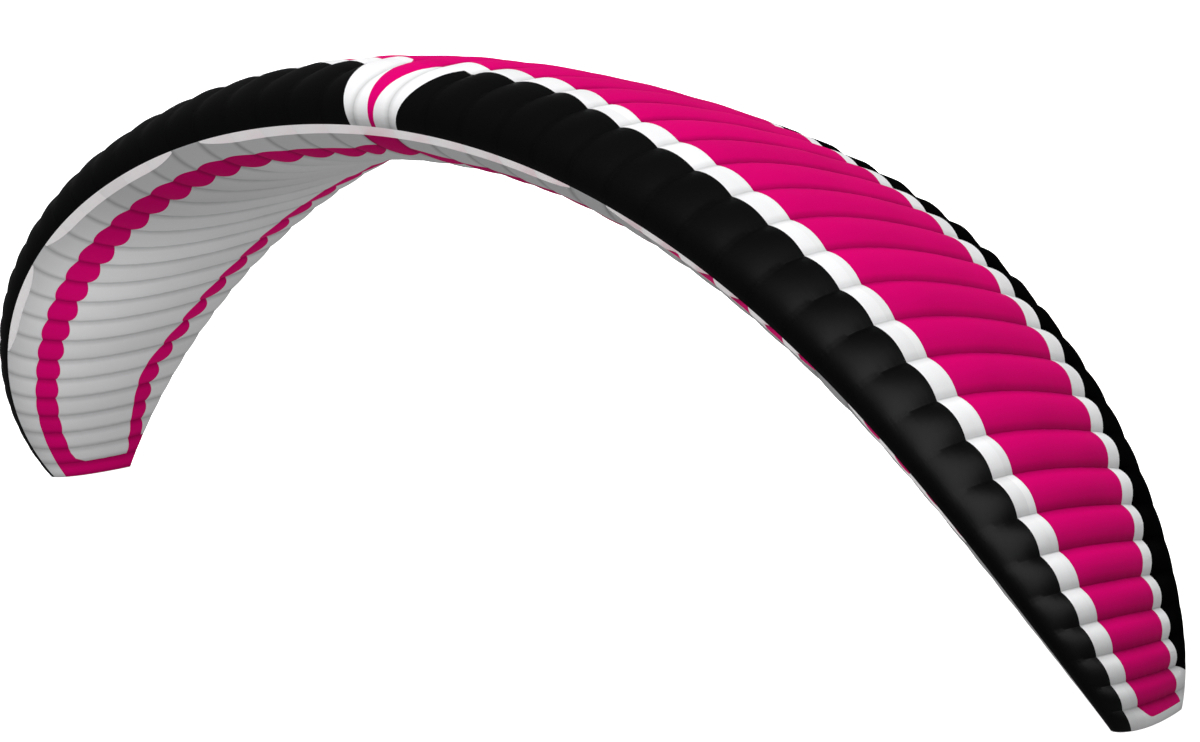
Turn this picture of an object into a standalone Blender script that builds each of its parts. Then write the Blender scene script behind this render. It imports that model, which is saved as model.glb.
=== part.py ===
"""Inflated paraglider canopy, standing on the flat panels that close its two tips.

The canopy is sewn cloth held open by air. Fifty aerofoil ribs divide it into forty-nine
cells, an upper and a lower skin run over the ribs and billow out between them, and slots
under the nose let the air into most of the cells. The skins are cut in bands of colour,
and the broad bands in lengths along the span. Each is one thin sheet. The ribs between the
tip cells are left out.

Frame: X along the span, Y from the leading edge to the trailing edge, Z up. The origin is
under the middle of the canopy's box, on the surface that the tips stand on. Metres.

Places on the skins are given by two numbers. The rib number k runs along the span: 0 in
the middle of the centre cell, half numbers at the ribs, 24.5 at the right tip. The girth
number u runs round the section: -1 at the trailing edge underneath, 0 at the leading edge,
+1 at the trailing edge on top, with a share u * u of the chord behind the leading edge.
"""
import math

import bmesh
import bpy
import numpy as np

# Plan of the flat canopy
HALF_SPAN = 6.15            # half the span along the cloth
ROOT_CHORD = 2.41           # chord in the middle
CELLS = 49
CELL_NARROWING = 0.279      # how much wider than average a middle cell is
CHORD_LOSS_2 = 0.118        # shares of the root chord lost towards the tip, with the
CHORD_LOSS_4 = 0.555        # 2nd, 4th and 16th power of the place along the span
CHORD_LOSS_16 = 0.059
SWEEP_2 = -0.062            # leading edge set back, in root chords, with the 2nd, 4th,
SWEEP_4 = 0.380             # 8th and 16th power
SWEEP_8 = 0.082
SWEEP_16 = 0.022

# Arch seen from the front: the slope of the cloth in radians, by powers of the place
ARCH_1 = 0.849
ARCH_3 = 0.500
ARCH_5 = -0.020
ARCH_END_POWER = 24         # this last term turns the tip panels level
ARCH_STEPS = 2000

# Section
THICKNESS = 0.242           # greatest thickness over chord
SECTION_POWERS = (1, 2, 4, 6, 8)    # the usual symmetric section, by powers of the girth number
SECTION_FACTORS = (0.2969, -0.1260, -0.3516, 0.2843, -0.1036)
PIVOT = 0.30                # the section is pitched about this share of its chord
PITCH_ROOT = 0.051          # nose-up pitch in radians
PITCH_GAIN = 0.040          # added at the tip
BILLOW_UNDER = 0.12         # height of the billows over the width of their cell,
BILLOW_TOP = (0.095, 0.18)  # on top up to the first of these ribs and from the second
BILLOW_TOP_RIBS = (8, 17)
NOSE_BLEND = 0.3            # girth number either side of the nose where one becomes the other
FLAT_GIRTH = -0.15          # no billow here, between the lip and the air slots' rear edge,
FLAT_HALF = 0.04            # nor this far to either side,
FLAT_RAMP = 0.16            # and the full billow this much further
BILLOW_FADE = 6.0           # they fade over the last 1/6 of the chord

# Colour bands: the share of the chord at which each edge crosses these ribs
BAND_RIBS = (0.5, 1.5, 3.5, 5.5, 9.5, 13.5, 16.5, 18.5, 19.5, 21.5, 22.5, 24.5)
NOSE_END = (0.146, 0.154, 0.172, 0.136, 0.130, 0.130, 0.126, 0.119, 0.116, 0.110, 0.107, 0.102)
BAND_START = (0.208, 0.220, 0.238, 0.203, 0.200, 0.203, 0.206, 0.207, 0.211, 0.217, 0.222, 0.262)
BAND_END = (0.845, 0.842, 0.838, 0.832, 0.810, 0.782, 0.747, 0.703, 0.664, 0.684, 0.714, 0.872)
EDGE_START = (0.878, 0.877, 0.876, 0.875, 0.875, 0.861, 0.824, 0.778, 0.745, 0.773, 0.817, 0.930)
STRIPE_1_START = (0.070, 0.105, 0.095, 0.076, 0.097, 0.110, 0.123, 0.129, 0.122, 0.120, 0.120, 0.120)
STRIPE_1_END = (0.115, 0.160, 0.160, 0.148, 0.176, 0.203, 0.218, 0.228, 0.232, 0.253, 0.296, 0.384)
STRIPE_2_START = (0.800, 0.800, 0.800, 0.805, 0.813, 0.825, 0.791, 0.723, 0.736, 0.796, 0.832, 0.916)
STRIPE_2_END = (0.910, 0.908, 0.900, 0.888, 0.882, 0.892, 0.857, 0.822, 0.835, 0.902, 0.972, 0.975)
BLACK_EDGE_END = 22.5       # rib number where the black rear edge ends
TIP_MAGENTA_FRONT = 23.75   # and where the upper magenta does, at its front edge
TIP_MAGENTA_REAR = 24.02    # and behind it

# Edges that keep one share of the chord all along the span
LIP = 0.012                 # lower edge of the black nose band
SLOT = 0.034                # rear edge of the air slots
TRAILING_EDGE = 1.0
UNDER_HEM = 0.9985          # the lower skin ends just before the trailing edge

# Centre wedge and the inner ends of the black nose bands, in cells from the middle
WEDGE_AT_LIP = 0.06
WEDGE_AT_BAND = 0.44
NOSE_INNER_AT_LIP = 0.68
NOSE_INNER_AT_END = 1.28
INNER_CURVE = 1.5           # both turn outwards with this power of the way up the nose

SHUT_CELLS = (6, 13, 18, 19, 20, 21, 22, 23, 24)    # counted out from the centre cell, 0
RIBS_EACH_SIDE = 17         # out to the last open cell

# Rib numbers where the skins are cut along the span
BROAD_CUTS = (-12.5, -4.5, 4.5, 12.5)
BROAD_LENGTHS = ("left_tip", "left_mid", "middle", "right_mid", "right_tip")
FRONT_CUTS = (-6.5, 0, 6.5)
FRONT_LENGTHS = ("left_tip", "left_mid", "right_mid", "right_tip")
NOSE_CUTS = (-6.5, -2.5, 0, 2.5, 6.5)
NOSE_LENGTHS = ("left_tip", "left_mid", "left_inner", "right_inner", "right_mid", "right_tip")

# Cloth
CLOTH = 0.002
SEAM = 0.00025              # each piece stops this short of its seam
SKIN_GAP = 0.0002           # the skins start this far outside the section
RIB_INSET = 0.0012          # the ribs stop this far inside it,
RIB_TAIL = 0.7              # and this far along the last facets before the trailing edge
TIP_GAP = 0.0005            # the tip panels lie this far outside the last rib number,
TIP_DRAW = 0.015            # and the skins end this share of a cell inside it

# Steps of the faceted sheets
TOP_STEPS = 3               # over each cell
UNDER_STEPS = 2

HALF_CELLS = CELLS / 2
SKIN_END = HALF_CELLS - TIP_DRAW

BLACK = (0.012, 0.012, 0.014)
WHITE = (0.78, 0.78, 0.80)
MAGENTA = (0.72, 0.004, 0.19)
RIB_WHITE = (0.70, 0.70, 0.72)


def clear_scene():
    for thing in list(bpy.data.objects):
        bpy.data.objects.remove(thing, do_unlink=True)


def cloth_material(name, colour):
    """Coated ripstop nylon of one colour."""
    material = bpy.data.materials.new(name)
    material.use_nodes = True
    shader = material.node_tree.nodes["Principled BSDF"]
    shader.inputs["Base Color"].default_value = (*colour, 1.0)
    shader.inputs["Roughness"].default_value = 0.55
    shader.inputs["Metallic"].default_value = 0.0
    return material


# The canopy's surface

def place_along_span(k):
    """Signed distance from the middle along the flat cloth; cells narrow to the tips."""
    share = k / HALF_CELLS
    return HALF_SPAN * share * (1 + CELL_NARROWING * (1 - share**2))


def arch_slope(share):
    """Downward slope of the arch at this share of the half span."""
    end_turn = math.pi / 2 - ARCH_1 - ARCH_3 - ARCH_5
    return ARCH_1 * share + ARCH_3 * share**3 + ARCH_5 * share**5 + end_turn * share**ARCH_END_POWER


def arch_table():
    """Place, X and Z along half the arch, summed up in small straight steps."""
    share = np.linspace(0, 1, ARCH_STEPS + 1)
    middle = (share[1:] + share[:-1]) / 2
    step = HALF_SPAN / ARCH_STEPS
    x = np.concatenate([[0], np.cumsum(np.cos(arch_slope(middle)) * step)])
    z = np.concatenate([[0], np.cumsum(-np.sin(arch_slope(middle)) * step)])
    return share, x, z


ARCH_SHARE, ARCH_X, ARCH_Z = arch_table()


def girth(band, k, side):
    """Girth number of a band's edge at rib numbers k, side +1 on top and -1 underneath."""
    if np.ndim(band) == 0:
        return side * np.sqrt(np.full(np.shape(k), band))
    return side * np.sqrt(np.interp(np.abs(k), BAND_RIBS, band))


def section(u):
    """Half thickness of the section over its chord, and its outward normal.

    The thickness is a polynomial in the girth number, which is the root of the chord share.
    """
    size = np.abs(u)
    powers = np.array(SECTION_POWERS)
    factors = 5 * THICKNESS * np.array(SECTION_FACTORS)
    depth = np.sign(u) * np.sum(factors * size[..., None] ** powers, axis=-1)
    rise = np.sum(factors * powers * size[..., None] ** (powers - 1), axis=-1)
    run = 2 * u
    length = np.hypot(run, rise)
    return depth, -rise / length, run / length


def billow(k, u):
    """How far the cloth stands out between two ribs."""
    from_rib = np.mod(np.abs(k) + 0.5, 1.0)
    width = HALF_SPAN / HALF_CELLS * (1 + CELL_NARROWING * (1 - 3 * (k / HALF_CELLS) ** 2))
    top = np.interp(np.abs(k), BILLOW_TOP_RIBS, BILLOW_TOP)
    ratio = BILLOW_UNDER + (top - BILLOW_UNDER) * np.clip((u / NOSE_BLEND + 1) / 2, 0, 1)
    ramp = np.clip((np.abs(u - FLAT_GIRTH) - FLAT_HALF) / FLAT_RAMP, 0, 1)
    fade = np.clip((1 - u**2) * BILLOW_FADE, 0, 1)
    return ratio * width * ramp * fade * 4 * from_rib * (1 - from_rib)


def canopy(k, u, stand_out=0.0):
    """Points of the canopy at rib numbers k and girth numbers u, as one array."""
    k, u = np.broadcast_arrays(np.asarray(k, float), np.asarray(u, float))
    along = place_along_span(k)
    share = np.abs(along) / HALF_SPAN
    slope = np.sign(along) * arch_slope(share)
    x = np.sign(along) * np.interp(share, ARCH_SHARE, ARCH_X)
    z = np.interp(share, ARCH_SHARE, ARCH_Z)
    loss = CHORD_LOSS_2 * share**2 + CHORD_LOSS_4 * share**4 + CHORD_LOSS_16 * share**16
    sweep = SWEEP_2 * share**2 + SWEEP_4 * share**4 + SWEEP_8 * share**8 + SWEEP_16 * share**16
    chord = ROOT_CHORD * (1 - loss)
    front = ROOT_CHORD * sweep
    pitch = PITCH_ROOT + PITCH_GAIN * share**2
    depth, normal_back, normal_up = section(u)
    out = billow(k, u) + stand_out
    back = (u**2 - PIVOT) * chord + out * normal_back
    up = depth * chord + out * normal_up
    y = front + PIVOT * chord + back * np.cos(pitch) + up * np.sin(pitch)
    rise = up * np.cos(pitch) - back * np.sin(pitch)
    return np.stack([x + np.sin(slope) * rise, y, z + np.cos(slope) * rise], axis=-1)


def canopy_shift():
    """Moves the canopy over the origin: middle of its box, tip panels on the ground."""
    k = np.linspace(-HALF_CELLS, HALF_CELLS, CELLS * 2 * TOP_STEPS + 1)[:, None]
    u = np.linspace(-1, 1, 81)[None, :]
    points = canopy(k, u, SKIN_GAP + CLOTH).reshape(-1, 3)
    middle_y = (points[:, 1].min() + points[:, 1].max()) / 2
    ground = canopy(HALF_CELLS, 0.0)[2] - TIP_GAP - CLOTH
    return np.array([0.0, -middle_y, -ground])


SHIFT = canopy_shift()


# Sheets

def unit(vectors):
    return vectors / np.linalg.norm(vectors, axis=-1, keepdims=True)


def solid_from_faces(name, points, faces, material):
    mesh = bpy.data.meshes.new(name)
    mesh.from_pydata(points.tolist(), [], faces)
    mesh.materials.append(material)
    body = bpy.data.objects.new(name, mesh)
    bpy.context.scene.collection.objects.link(body)
    return body


def sheet(name, k_lines, u_lines, keep, material):
    """A sheet of cloth over the quads that keep marks in a grid of lines.

    k_lines and u_lines are arrays of the same shape, one row for each line across the
    span and one column for each line round the section. Points on the rim draw back from
    the seam, and the cloth is thickened outwards along the surface's normals.
    """
    surface = canopy(k_lines, u_lines) + SHIFT
    across = unit(np.gradient(surface, axis=0))
    around = unit(np.gradient(surface, axis=1))
    normal = unit(np.cross(across, around))

    kept = np.pad(keep.astype(int), 1)
    low_low, low_high = kept[:-1, :-1], kept[:-1, 1:]
    high_low, high_high = kept[1:, :-1], kept[1:, 1:]
    draw_across = np.sign(high_low + high_high - low_low - low_high)[..., None]
    draw_around = np.sign(low_high + high_high - low_low - high_low)[..., None]
    surface = surface + SEAM * (draw_across * across + draw_around * around)

    used = (low_low + low_high + high_low + high_high) > 0
    number = np.full(used.shape, -1)
    number[used] = np.arange(used.sum())
    inner = surface[used] + SKIN_GAP * normal[used]
    outer = surface[used] + (SKIN_GAP + CLOTH) * normal[used]
    count = len(inner)

    faces = []
    for i, j in np.argwhere(keep).tolist():
        corners = [number[i, j], number[i + 1, j], number[i + 1, j + 1], number[i, j + 1]]
        first = int(k_lines[i, j] < 0)      # mirrored diagonals on the left half
        turned = [int(corner) for corner in corners[first:] + corners[:first]]
        for three in (turned[:3], [turned[0]] + turned[2:]):
            faces.append([corner + count for corner in three])
            faces.append(three[::-1])
        beside = [(i, j - 1), (i + 1, j), (i, j + 1), (i - 1, j)]
        for side, (row, column) in enumerate(beside):
            if not kept[row + 1, column + 1]:
                start = int(corners[side])
                end = int(corners[(side + 1) % 4])
                faces.append([start, end, end + count, start + count])
    return solid_from_faces(name, np.concatenate([inner, outer]), faces, material)


# The grids of lines that the skins are cut from. A row is a strip round the section, with
# its lower and upper edge, the side of the section that each is on, and its steps.

TOP_ROWS = (
    (LIP, -1, NOSE_END, 1, 4),
    (NOSE_END, 1, BAND_START, 1, 1),
    (BAND_START, 1, BAND_END, 1, 4),
    (BAND_END, 1, EDGE_START, 1, 1),
    (EDGE_START, 1, TRAILING_EDGE, 1, 1),
)
UNDER_ROWS = (
    (UNDER_HEM, -1, STRIPE_2_END, -1, 1),
    (STRIPE_2_END, -1, STRIPE_2_START, -1, 1),
    (STRIPE_2_START, -1, STRIPE_1_END, -1, 3),
    (STRIPE_1_END, -1, STRIPE_1_START, -1, 1),
    (STRIPE_1_START, -1, SLOT, -1, 1),
    (SLOT, -1, LIP, -1, 1),
)


def lines_round(rows, k):
    """Girth numbers of the lines round the section, one column for each."""
    columns = []
    for low_edge, low_side, high_edge, high_side, steps in rows:
        low = girth(low_edge, k, low_side)
        high = girth(high_edge, k, high_side)
        columns += [low + (high - low) * step / steps for step in range(steps)]
    columns.append(high)
    return np.stack(columns, axis=1)


def row_numbers(rows):
    """For each strip of quads round the section, the row that it belongs to."""
    return np.repeat(np.arange(len(rows)), [row[-1] for row in rows])


def slanted(low_value, high_value, low_u, high_u, u, power=1.0):
    """A value that goes from one to another between two girth numbers and stays there."""
    part = np.clip((u - low_u) / (high_u - low_u), 0, 1)
    return low_value + (high_value - low_value) * part**power


def top_grid():
    """Upper skins. The first lines bound the wedge and the nose bands' inner ends."""
    cells_out = np.arange(2, CELLS // 2 + 1) - 0.5
    plain = (cells_out[:, None] + np.arange(TOP_STEPS) / TOP_STEPS).ravel()
    plain = np.append(plain, SKIN_END)
    middle_lines = 5
    u_half = lines_round(TOP_ROWS, np.concatenate([np.zeros(middle_lines), plain]))
    u = u_half[0]
    lip = girth(LIP, 0.0, -1)
    nose_end = girth(NOSE_END, 0.0, 1)
    band_start = girth(BAND_START, 0.0, 1)
    wedge = slanted(WEDGE_AT_LIP, WEDGE_AT_BAND, lip, band_start, u, INNER_CURVE)
    inner = slanted(NOSE_INNER_AT_LIP, NOSE_INNER_AT_END, lip, nose_end, u, INNER_CURVE)
    k_half = np.repeat(np.append(np.zeros(middle_lines), plain)[:, None], len(u), axis=1)
    k_half[:middle_lines] = [wedge / 3, wedge, np.full_like(u, 0.5), inner, (inner + 1.5) / 2]
    front = girth(BAND_START, HALF_CELLS, 1)
    k_half[-TOP_STEPS] = slanted(TIP_MAGENTA_FRONT, TIP_MAGENTA_REAR, front, front + 0.1, u_half[-1])
    return np.concatenate([-k_half[::-1], k_half]), np.concatenate([u_half[::-1], u_half])


def under_grid():
    k = np.linspace(-HALF_CELLS, HALF_CELLS, CELLS * UNDER_STEPS + 1).clip(-SKIN_END, SKIN_END)
    u_lines = lines_round(UNDER_ROWS, k)
    return np.repeat(k[:, None], u_lines.shape[1], axis=1), u_lines


# The pieces

def cut_sheets(name, cuts, lengths, k_lines, u_lines, keep, material):
    """One sheet for each length of a band, cut at these rib numbers along the span."""
    middle_k = (k_lines[1:, -1] + k_lines[:-1, -1])[:, None] / 2
    length = np.searchsorted(cuts, middle_k)
    for number, place in enumerate(lengths):
        sheet(f"{name}_{place}", k_lines, u_lines, keep & (length == number), material)


def make_top_skins(black, white, magenta):
    k_lines, u_lines = top_grid()
    row = row_numbers(TOP_ROWS)[None, :]
    out = (np.abs(np.arange(len(k_lines) - 1) - (len(k_lines) - 2) // 2))[:, None]
    middle_k = (k_lines[1:, -1] + k_lines[:-1, -1])[:, None] / 2
    tip_end = out > out.max() - (TOP_STEPS - 1)
    black_edge = np.abs(middle_k) < BLACK_EDGE_END
    wedge = out <= 1
    beside_wedge = (out == 2) | (out == 3)
    outer = out >= 4
    nose = outer & (row == 0)
    band = (wedge & (row <= 1)) | (~tip_end & (row == 2))
    border = (beside_wedge & (row == 0)) | (~wedge & (row == 1)) | (tip_end & (row == 2))
    border = border | (row == 3) | (~black_edge & (row == 4))
    rear = black_edge & (row == 4)
    cut_sheets("nose_band", NOSE_CUTS, NOSE_LENGTHS, k_lines, u_lines, nose, black)
    sheet("upper_white_border", k_lines, u_lines, border, white)
    cut_sheets("upper_magenta", BROAD_CUTS, BROAD_LENGTHS, k_lines, u_lines, band, magenta)
    sheet("upper_rear_edge", k_lines, u_lines, rear, black)


def make_under_skins(white, magenta):
    k_lines, u_lines = under_grid()
    row = row_numbers(UNDER_ROWS)[None, :]
    middle_k = (k_lines[1:, 0] + k_lines[:-1, 0])[:, None] / 2
    cell = np.round(np.abs(middle_k))
    tip_cell = cell == CELLS // 2
    hem_cell = cell < CELLS // 2 - 1
    centre_cell = cell == 0
    front = ((row == 4) & ~centre_cell) | ((row == 5) & np.isin(cell, SHUT_CELLS))
    rear = (row == 0) & hem_cell
    stripes = (row == 1) | (row == 3) | ((row == 2) & tip_cell) | ((row == 4) & centre_cell)
    stripes = stripes | ((row == 0) & ~hem_cell)
    broad = (row == 2) & ~tip_cell
    cut_sheets("lower_front", FRONT_CUTS, FRONT_LENGTHS, k_lines, u_lines, front, white)
    sheet("lower_magenta_stripes", k_lines, u_lines, stripes, magenta)
    cut_sheets("lower_broad", BROAD_CUTS, BROAD_LENGTHS, k_lines, u_lines, broad, white)
    sheet("lower_rear", k_lines, u_lines, rear, white)


def plate(name, outline, across, low, high, material):
    """A flat piece: its outline carried along the direction across, from low to high."""
    count = len(outline)
    points = np.concatenate([outline + across * low, outline + across * high])
    sides = [[i, (i + 1) % count, (i + 1) % count + count, i + count] for i in range(count)]
    faces = [list(range(count))[::-1], list(range(count, 2 * count))] + sides
    body = solid_from_faces(name, points, faces, material)
    shape = bmesh.new()
    shape.from_mesh(body.data)
    bmesh.ops.recalc_face_normals(shape, faces=shape.faces)
    shape.to_mesh(body.data)
    shape.free()
    return body


def rib_plane_normal(k):
    along = place_along_span(k)
    slope = np.sign(along) * arch_slope(np.abs(along) / HALF_SPAN)
    return np.array([np.cos(slope), 0.0, -np.sin(slope)])


def section_lines(k):
    """Girth numbers of every skin line at one rib, from the tail round to the tail."""
    under = lines_round(UNDER_ROWS, np.array([k]))[0]
    top = lines_round(TOP_ROWS, np.array([k]))[0]
    return under, top


def make_rib(name, k, material):
    """The section inside the skins, with every second line's corner and a blunt tail."""
    under, top = section_lines(k)
    u = np.concatenate([under[[1, 2, 3, 5, 7]], top[[1, 2, 3, 5, 7, 9]]])
    outline = canopy(k, u)
    trailing_edge = canopy(k, 1.0)
    low_tail = canopy(k, under[1]) + (trailing_edge - canopy(k, under[1])) * RIB_TAIL
    high_tail = canopy(k, top[10]) + (trailing_edge - canopy(k, top[10])) * RIB_TAIL
    outline = np.concatenate([[low_tail], outline, [high_tail]]) + SHIFT
    normal = rib_plane_normal(k)
    edges = unit(np.roll(outline, -1, axis=0) - outline)
    edge_in = np.cross(edges, normal)
    corner_in = unit(edge_in + np.roll(edge_in, 1, axis=0))
    inward = corner_in / np.sum(corner_in * edge_in, axis=1, keepdims=True)
    plate(name, outline + RIB_INSET * inward, normal, -CLOTH / 2, CLOTH / 2, material)


def make_tip_panel(name, k, material):
    under, top = section_lines(k)
    outline = canopy(k, np.concatenate([under, top[1:]]), SKIN_GAP + CLOTH) + SHIFT
    outward = np.sign(k) * rib_plane_normal(k)
    plate(name, outline, outward, TIP_GAP, TIP_GAP + CLOTH, material)


def make_ribs(white):
    for number in range(1, RIBS_EACH_SIDE + 1):
        make_rib(f"rib_left_{number:02d}", 0.5 - number, white)
        make_rib(f"rib_right_{number:02d}", number - 0.5, white)
    make_tip_panel("tip_panel_left", -HALF_CELLS, white)
    make_tip_panel("tip_panel_right", HALF_CELLS, white)


clear_scene()
black_cloth = cloth_material("black_ripstop", BLACK)
white_cloth = cloth_material("white_ripstop", WHITE)
magenta_cloth = cloth_material("magenta_ripstop", MAGENTA)
rib_cloth = cloth_material("rib_cloth", RIB_WHITE)
make_top_skins(black_cloth, white_cloth, magenta_cloth)
make_under_skins(white_cloth, magenta_cloth)
make_ribs(rib_cloth)
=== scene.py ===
"""Inflated paraglider canopy: its cloth, seams, hems and ribs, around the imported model.

The skins are surfaces of two numbers. The rib number k runs along the span: 0 in the middle
of the centre cell, half numbers at the ribs, 24.5 at the right tip. The girth number u runs
round the section: -1 at the trailing edge underneath, 0 at the leading edge, +1 at the
trailing edge on top, with a share u * u of the chord behind the leading edge. Metres.
"""

import math

import bmesh
import bpy
import numpy as np
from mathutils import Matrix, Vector


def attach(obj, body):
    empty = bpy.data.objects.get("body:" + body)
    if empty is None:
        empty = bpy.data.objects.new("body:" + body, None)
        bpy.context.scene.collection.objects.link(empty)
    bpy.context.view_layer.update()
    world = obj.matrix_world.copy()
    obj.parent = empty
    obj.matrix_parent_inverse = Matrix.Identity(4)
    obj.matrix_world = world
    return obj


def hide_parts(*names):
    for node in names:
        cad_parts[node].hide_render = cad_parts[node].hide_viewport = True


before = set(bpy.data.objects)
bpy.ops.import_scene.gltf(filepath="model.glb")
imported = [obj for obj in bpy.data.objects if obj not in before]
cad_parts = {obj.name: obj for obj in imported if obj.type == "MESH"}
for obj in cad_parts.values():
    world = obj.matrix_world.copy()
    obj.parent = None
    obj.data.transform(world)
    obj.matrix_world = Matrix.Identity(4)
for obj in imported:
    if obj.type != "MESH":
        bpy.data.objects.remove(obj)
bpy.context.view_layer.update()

# Plan of the flat canopy. A number at the end of a name is a power of the share of the half span.
HALF_SPAN = 6.15
ROOT_CHORD = 2.41
CELLS = 49
HALF_CELLS = CELLS / 2
CELL_NARROWING = 0.279      # how much wider than the average the middle cell is
CHORD_LOSS_2 = 0.118
CHORD_LOSS_4 = 0.555
CHORD_LOSS_16 = 0.059
SWEEP_2 = -0.062
SWEEP_4 = 0.380
SWEEP_8 = 0.082
SWEEP_16 = 0.022

# Arch seen from the front
ARCH_1 = 0.849
ARCH_3 = 0.500
ARCH_5 = -0.020
ARCH_END_POWER = 24         # turns the last of the arch down to a right angle
ARCH_STEPS = 2000

# Section and billows
THICKNESS = 0.242           # over the chord
SECTION_POWERS = (1, 2, 4, 6, 8)
SECTION_FACTORS = (0.2969, -0.1260, -0.3516, 0.2843, -0.1036)
SECTION_SCALE = 5           # the factors are for a section a fifth as thick as its chord
GIRTH_STEPS = 2000
PIVOT = 0.30                # share of the chord that the pitch turns about
PITCH_ROOT = 0.051          # radians
PITCH_GAIN = 0.040
BILLOW_UNDER = (0.085, 0.12)    # height of the billows over the width of their cell,
BILLOW_TOP = (0.095, 0.18)      # up to the first of these ribs and from the second
BILLOW_RIBS = (8, 17)
NOSE_BLEND = 0.3            # girth number where the upper height is reached
FLAT_GIRTH = -0.15          # the cloth lies flat round the air slots: their girth number,
FLAT_HALF = 0.04            # how far the flat reaches from it,
FLAT_RAMP = (0.26, 0.45)    # and how far the rise does underneath and over the nose
BILLOW_FADE = (6.0, 30.0)   # the billows fade over the last 1/6 of the chord, but over the last
FADE_RIBS = (9, 15)         # 1/30 on top within the first of these ribs
REAR_SCALLOP = 0.085        # the seams draw the rear edge in by this share of the cell's width,
SCALLOP_FADE = 12           # less so over the last cells
SCALLOP_POWER = 24          # and only near the edge
BOX_STEPS = 6               # steps over each cell,
BOX_LINES = 80              # and round the section, to find the canopy's box
NORMAL_STEP = 1e-3          # in rib number and girth number

# Colour bands: the share of the chord at which each edge crosses these ribs
BAND_RIBS = (
    0.5, 1.5, 3.5, 5.5, 9.5, 13.5, 16.5, 18.5,
    19.5, 21.5, 22.5, 22.8, 23.2, 23.5, 24.5,
)
NOSE_END = (
    0.146, 0.154, 0.172, 0.136, 0.130, 0.130, 0.126, 0.119,
    0.116, 0.110, 0.107, 0.106, 0.105, 0.104, 0.102,
)
BAND_START = (
    0.208, 0.220, 0.238, 0.203, 0.200, 0.203, 0.206, 0.207,
    0.211, 0.217, 0.222, 0.228, 0.236, 0.242, 0.262,
)
BAND_END = (
    0.845, 0.842, 0.838, 0.832, 0.810, 0.782, 0.747, 0.703,
    0.664, 0.684, 0.714, 0.738, 0.770, 0.793, 0.872,
)
EDGE_START = (
    0.878, 0.877, 0.876, 0.875, 0.875, 0.861, 0.824, 0.778,
    0.745, 0.773, 0.817, 0.970, 0.971, 0.972, 0.975,
)
STRIPE_1_START = (
    0.070, 0.105, 0.095, 0.076, 0.097, 0.110, 0.123, 0.129,
    0.122, 0.120, 0.120, 0.120, 0.120, 0.120, 0.120,
)
STRIPE_1_END = (
    0.115, 0.160, 0.160, 0.148, 0.176, 0.203, 0.218, 0.228,
    0.232, 0.253, 0.274, 0.277, 0.305, 0.400, 0.420,
)
STRIPE_2_START = (
    0.800, 0.800, 0.800, 0.805, 0.813, 0.825, 0.791, 0.723,
    0.736, 0.796, 0.832, 0.845, 0.862, 0.874, 0.916,
)
STRIPE_2_END = (
    0.910, 0.908, 0.900, 0.888, 0.882, 0.892, 0.857, 0.822,
    0.835, 0.902, 0.972, 0.973, 0.973, 0.974, 0.975,
)
EDGE_BULGE = {              # how far these edges move in mid cell, and back at its seams
    STRIPE_1_START: -0.007,
    STRIPE_1_END: 0.007,
    STRIPE_2_START: -0.025,
    STRIPE_2_END: 0.016,
}
BULGE_FADE = 6              # the bulges fade over as many cells before the black edge's end
BLACK_EDGE_END = 22.8       # rib number where the black rear edge ends
TIP_MAGENTA_FRONT = 23.62   # and where the upper magenta does, at its front edge,
TIP_MAGENTA_RISE = 0.44     # how much further it reaches behind that, over this part of the
TIP_RISE_PART = 0.25        # band,
TIP_MAGENTA_FALL = 0.12     # and what it loses again to its rear edge
LIP = 0.012                 # edges that keep one share of the chord all along the span
SLOT = 0.034
TRAILING_EDGE = 1.0
UNDER_HEM = 0.9985

# Centre wedge: its half width in cells is a sum of two powers of the girth number
WEDGE_AT_LIP = 0.065
WEDGE_SLOW = (-0.11, 0.42, 0.40, 2.0)       # from, to, gain and power
WEDGE_QUICK = (0.38, 0.504, 0.60, 2.5)
WEDGE_CROSS = 0.1762        # chord share where it crosses the first rib

# Inner ends of the black nose bands, in cells from the middle
NOSE_INNER_AT_LIP = 0.68
NOSE_INNER_AT_END = 1.28
INNER_CURVE = 1.5

SHUT_CELLS = (6, 13, 18, 19, 20, 21, 22, 23, 24)
SLOT_NARROWING = 0.85       # how far a slot has closed where it meets a shut cell
SLOT_NARROWS_OVER = 1.3     # cells

# Cloth
SKIN_GAP = 0.0002
SKIN_THICK = 0.0012
CAD_CLOTH = 0.002           # thickness of the cloth in the solids, and of the tip panels
TIP_GAP = 0.0005            # between a tip panel and the end of the cells
TIP_DRAW = 0.015            # the skins stop short of the tip by this share of a cell
SKIN_END = HALF_CELLS - TIP_DRAW
RIB_INSET = 0.0012
RIB_THICK = 0.0010
RIB_NOSE = 0.02             # girth number where a rib's blunt nose starts
RIB_TAIL = 0.985            # share of the chord where a rib ends,
TIP_TAIL = 0.9995           # and where a tip panel does

# Wrinkles: puckers along the seams, and slow waves over each panel. Each is a sum of sines:
# length, height, the factor and power that turn a panel's number into a phase, and how much
# of the left side's own phase is added.
PUCKER = 0.0011
PUCKER_REACH = 0.045
PUCKER_SINES = ((0.125, 1.0, 2.4, 1.3, 1), (0.083, 0.7, 5.1, 1.0, 2))
WAVE = 0.0022
WAVE_SINES = ((0.71, 1.0, 1.9, 1.2, 1), (0.43, 0.6, 3.3, 1.0, 1))
LEFT_PHASE = 1.7

# Grid steps
CELL_STEPS = 10
MIDDLE_STEPS = (6, 6, 6, 6)     # to the wedge's edge, first rib, nose band and next rib
PLATE_STEPS = 59            # of a rib or tip panel, from nose to tail
PLATE_LINES = 4             # and from its lower side to its upper one
SHARP = math.radians(28)
DOUBLES = 1e-6              # points closer than this are one

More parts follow.
